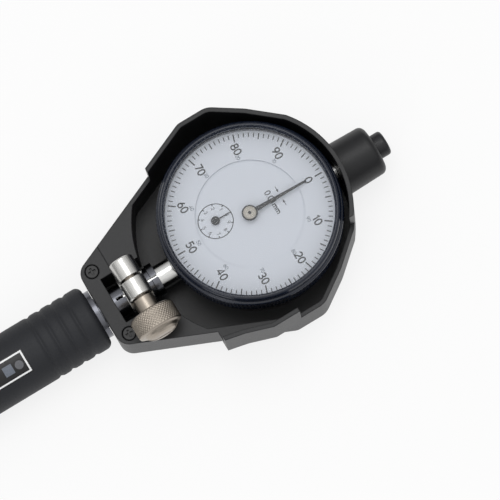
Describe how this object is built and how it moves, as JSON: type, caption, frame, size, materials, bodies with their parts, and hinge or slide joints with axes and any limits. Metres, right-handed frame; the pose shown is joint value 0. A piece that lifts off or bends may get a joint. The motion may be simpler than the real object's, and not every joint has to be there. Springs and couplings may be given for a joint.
{
  "type": "dial bore gauge",
  "caption": "Two-point bore gauge with a dial indicator in a plastic guard, a gripped tube and a bell-crank measuring head with centring guide",
  "frame": {"origin": "on the resting plane, under the centre of the dial, at the middle of the guard's back face", "axes": "+Y along the tube's axis towards the top of the dial, +X to the dial's right, +Z out of the dial"},
  "size_m": [0.069, 0.373, 0.0315],
  "materials": {
    "guard_plastic": "satin",
    "black_screw": "satin",
    "polished_steel": "polished",
    "satin_steel": "satin",
    "grip_rubber": "matte",
    "label_film": "satin",
    "satin_nickel": "satin",
    "nickel_knob": "knurled",
    "case_enamel": "gloss",
    "cap_plastic": "satin",
    "bezel_plastic": "satin",
    "crystal": "clear",
    "dial_white": "matte",
    "spring_steel": "satin",
    "brass": "satin",
    "pointer_grey": "satin",
    "bush_plastic": "matte",
    "carbide": "polished"
  },
  "bodies": {
    "frame": {"guard_body": "guard_plastic", "guard_front_cap": "guard_plastic", "guard_cap_screws": "black_screw", "holder_sleeve": "polished_steel", "main_tube": "satin_steel", "grip": "grip_rubber", "grip_label": "label_film", "clamp_ring": "satin_nickel", "indicator_case": "case_enamel", "case_back": "case_enamel", "case_back_screws": "black_screw", "indicator_stem": "polished_steel", "top_bush": "polished_steel", "dust_cap": "cap_plastic", "bezel_snap_ring": "spring_steel", "dial_plate": "dial_white", "lower_plate": "brass", "upper_plate": "brass", "movement_screws": "polished_steel", "centre_bridge": "brass", "hairspring": "spring_steel", "spindle_spring": "spring_steel", "rod_spring": "spring_steel", "upper_rod_bush": "bush_plastic", "lower_rod_bush": "bush_plastic", "head_body": "satin_steel", "head_cover": "satin_steel", "head_cover_screws": "black_screw", "crank_pin": "polished_steel", "contact_bush": "brass", "anvil": "polished_steel", "anvil_tip": "carbide", "anvil_nut": "satin_nickel", "guide_springs": "spring_steel"},
    "clamp_screw": {"clamp_screw": "nickel_knob"},
    "bezel": {"bezel": "bezel_plastic", "crystal": "crystal", "scale_ring": "dial_white"},
    "contact": {"contact_plunger": "polished_steel", "contact_tip": "carbide"},
    "crank": {"bell_crank": "polished_steel"},
    "rod": {"push_rod": "polished_steel"},
    "spindle": {"spindle": "polished_steel", "spindle_point": "polished_steel"},
    "counter": {"counter_gear": "brass", "counter_hand": "pointer_grey"},
    "pointer": {"centre_pinion": "polished_steel", "main_pointer": "pointer_grey"},
    "take_up": {"take_up_gear": "brass"},
    "guide": {"centring_guide": "polished_steel"}
  },
  "joints": [
    {"name": "clamp_screw_turn", "type": "hinge", "parent": "frame", "child": "clamp_screw", "pos_m": [0, -0.0412, 0.0242], "axis": [1, 0, 0], "range_deg": [0, 540]},
    {"name": "bezel_turn", "type": "hinge", "parent": "frame", "child": "bezel", "pos_m": [0, 0, 0.0197], "axis": [0, 0, 1], "continuous": true},
    {"name": "contact_slide", "type": "slide", "parent": "frame", "child": "contact", "axis": [1, 0, 0], "range_m": [0, 0.0012], "stiffness_N_per_m": 400, "springref_m": -0.008, "deforming": ["rod_spring", "spindle_spring", "hairspring"]},
    {"name": "crank_turn", "type": "hinge", "parent": "frame", "child": "crank", "pos_m": [-0.005, -0.307, 0.0106], "axis": [0, 0, 1], "range_deg": [0, 13.8]},
    {"name": "rod_slide", "type": "slide", "parent": "frame", "child": "rod", "axis": [0, 1, 0], "range_m": [0, 0.00121]},
    {"name": "spindle_slide", "type": "slide", "parent": "frame", "child": "spindle", "axis": [0, 1, 0], "range_m": [0, 0.00121]},
    {"name": "counter_turn", "type": "hinge", "parent": "frame", "child": "counter", "pos_m": [-0.0036, -0.01005, 0.015], "axis": [0, 0, 1], "range_deg": [0, 43.5]},
    {"name": "pointer_turn", "type": "hinge", "parent": "frame", "child": "pointer", "pos_m": [0, 0, 0.015], "axis": [0, 0, 1], "range_deg": [-434, 0]},
    {"name": "take_up_turn", "type": "hinge", "parent": "frame", "child": "take_up", "pos_m": [0.0034, 0.00588, 0.015], "axis": [0, 0, 1], "range_deg": [0, 72.5]},
    {"name": "guide_slide", "type": "slide", "parent": "frame", "child": "guide", "axis": [1, 0, 0], "range_m": [0, 0.003], "stiffness_N_per_m": 300, "springref_m": -0.006, "deforming": ["guide_springs"]}
  ],
  "couplings": [
    {"joint": "crank_turn", "follows": "contact_slide", "rad_per_m": 200},
    {"joint": "rod_slide", "follows": "contact_slide", "ratio": 1},
    {"joint": "spindle_slide", "follows": "contact_slide", "ratio": 1},
    {"joint": "counter_turn", "follows": "contact_slide", "rad_per_m": 628.32},
    {"joint": "pointer_turn", "follows": "contact_slide", "rad_per_m": -6283.2},
    {"joint": "take_up_turn", "follows": "contact_slide", "rad_per_m": 1047.2}
  ]
}
